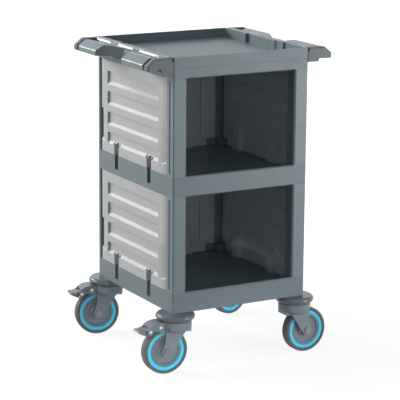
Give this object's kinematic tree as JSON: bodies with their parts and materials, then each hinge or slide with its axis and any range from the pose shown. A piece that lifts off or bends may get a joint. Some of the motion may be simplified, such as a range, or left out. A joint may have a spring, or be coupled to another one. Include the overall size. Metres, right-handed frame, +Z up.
{
  "type": "enclosed meal tray cart",
  "caption": "Plastic meal tray cart with two open-fronted bays, closed side and back panels, a tray top with side handles and swivel casters.",
  "frame": {"origin": "centre of the whole part's bounding box at floor level, under the wheels", "axes": "+Z up, the open front faces -Y, +X to the right as seen from the front; wheels stand on Z = 0"},
  "size_m": [0.5789, 0.511, 0.845],
  "materials": {
    "deck_plastic": "satin",
    "panel_plastic": "satin",
    "caster_plastic": "satin",
    "wheel_ring": "gloss",
    "tyre": "matte",
    "zinc_steel": "satin"
  },
  "bodies": {
    "cart": {"base_deck": "deck_plastic", "mid_deck": "deck_plastic", "top_frame": "deck_plastic", "top_tray": "deck_plastic", "lower_post_front_left": "deck_plastic", "lower_post_front_right": "deck_plastic", "lower_post_rear_left": "deck_plastic", "lower_post_rear_right": "deck_plastic", "upper_post_front_left": "deck_plastic", "upper_post_front_right": "deck_plastic", "upper_post_rear_left": "deck_plastic", "upper_post_rear_right": "deck_plastic", "lower_panel_left": "panel_plastic", "lower_panel_right": "panel_plastic", "lower_panel_back": "panel_plastic", "upper_panel_left": "panel_plastic", "upper_panel_right": "panel_plastic", "upper_panel_back": "panel_plastic", "handle_left": "deck_plastic", "handle_right": "deck_plastic", "end_caps_left": "deck_plastic", "end_caps_right": "deck_plastic", "handle_screws": "zinc_steel", "tie_rods": "zinc_steel", "tie_rod_nuts": "zinc_steel", "caster_stems": "zinc_steel", "bumper_front_left": "caster_plastic", "bumper_front_right": "caster_plastic", "bumper_rear_left": "caster_plastic", "bumper_rear_right": "caster_plastic"},
    "swivel_front_left": {"fork_front_left": "caster_plastic", "axle_front_left": "zinc_steel", "bearing_front_left": "zinc_steel", "brake_housing_front_left": "caster_plastic", "brake_pins_front_left": "zinc_steel"},
    "wheel_front_left": {"hub_front_left": "caster_plastic", "ring_front_left": "wheel_ring", "tyre_front_left": "tyre"},
    "lever_front_left": {"pedal_front_left": "caster_plastic"},
    "swivel_front_right": {"fork_front_right": "caster_plastic", "axle_front_right": "zinc_steel", "bearing_front_right": "zinc_steel"},
    "wheel_front_right": {"hub_front_right": "caster_plastic", "ring_front_right": "wheel_ring", "tyre_front_right": "tyre"},
    "swivel_rear_left": {"fork_rear_left": "caster_plastic", "axle_rear_left": "zinc_steel", "bearing_rear_left": "zinc_steel", "brake_housing_rear_left": "caster_plastic", "brake_pins_rear_left": "zinc_steel"},
    "wheel_rear_left": {"hub_rear_left": "caster_plastic", "ring_rear_left": "wheel_ring", "tyre_rear_left": "tyre"},
    "lever_rear_left": {"pedal_rear_left": "caster_plastic"},
    "swivel_rear_right": {"fork_rear_right": "caster_plastic", "axle_rear_right": "zinc_steel", "bearing_rear_right": "zinc_steel"},
    "wheel_rear_right": {"hub_rear_right": "caster_plastic", "ring_rear_right": "wheel_ring", "tyre_rear_right": "tyre"}
  },
  "joints": [
    {"name": "swivel_turn_front_left", "type": "hinge", "parent": "cart", "child": "swivel_front_left", "pos_m": [-0.17518, -0.203, 0.146], "axis": [0, 0, 1], "continuous": true},
    {"name": "wheel_roll_front_left", "type": "hinge", "parent": "swivel_front_left", "child": "wheel_front_left", "pos_m": [-0.20712, -0.2011, 0.0625], "axis": [-0.0593, -0.9982, 0], "continuous": true},
    {"name": "pedal_press_front_left", "type": "hinge", "parent": "swivel_front_left", "child": "lever_front_left", "pos_m": [-0.25604, -0.1982, 0.123], "axis": [-0.0593, -0.9982, 0], "range_deg": [0, 26]},
    {"name": "swivel_turn_front_right", "type": "hinge", "parent": "cart", "child": "swivel_front_right", "pos_m": [0.19482, -0.203, 0.146], "axis": [0, 0, 1], "continuous": true},
    {"name": "wheel_roll_front_right", "type": "hinge", "parent": "swivel_front_right", "child": "wheel_front_right", "pos_m": [0.22682, -0.2025, 0.0625], "axis": [-0.0157, 0.9999, 0], "continuous": true},
    {"name": "swivel_turn_rear_left", "type": "hinge", "parent": "cart", "child": "swivel_rear_left", "pos_m": [-0.17518, 0.203, 0.146], "axis": [0, 0, 1], "continuous": true},
    {"name": "wheel_roll_rear_left", "type": "hinge", "parent": "swivel_rear_left", "child": "wheel_rear_left", "pos_m": [-0.20666, 0.20872, 0.0625], "axis": [-0.1788, -0.9839, 0], "continuous": true},
    {"name": "pedal_press_rear_left", "type": "hinge", "parent": "swivel_rear_left", "child": "lever_rear_left", "pos_m": [-0.25487, 0.21748, 0.123], "axis": [-0.1788, -0.9839, 0], "range_deg": [0, 26]},
    {"name": "swivel_turn_rear_right", "type": "hinge", "parent": "cart", "child": "swivel_rear_right", "pos_m": [0.19482, 0.203, 0.146], "axis": [0, 0, 1], "continuous": true},
    {"name": "wheel_roll_rear_right", "type": "hinge", "parent": "swivel_rear_right", "child": "wheel_rear_right", "pos_m": [0.22612, 0.20965, 0.0625], "axis": [-0.2079, 0.9781, 0], "continuous": true}
  ]
}
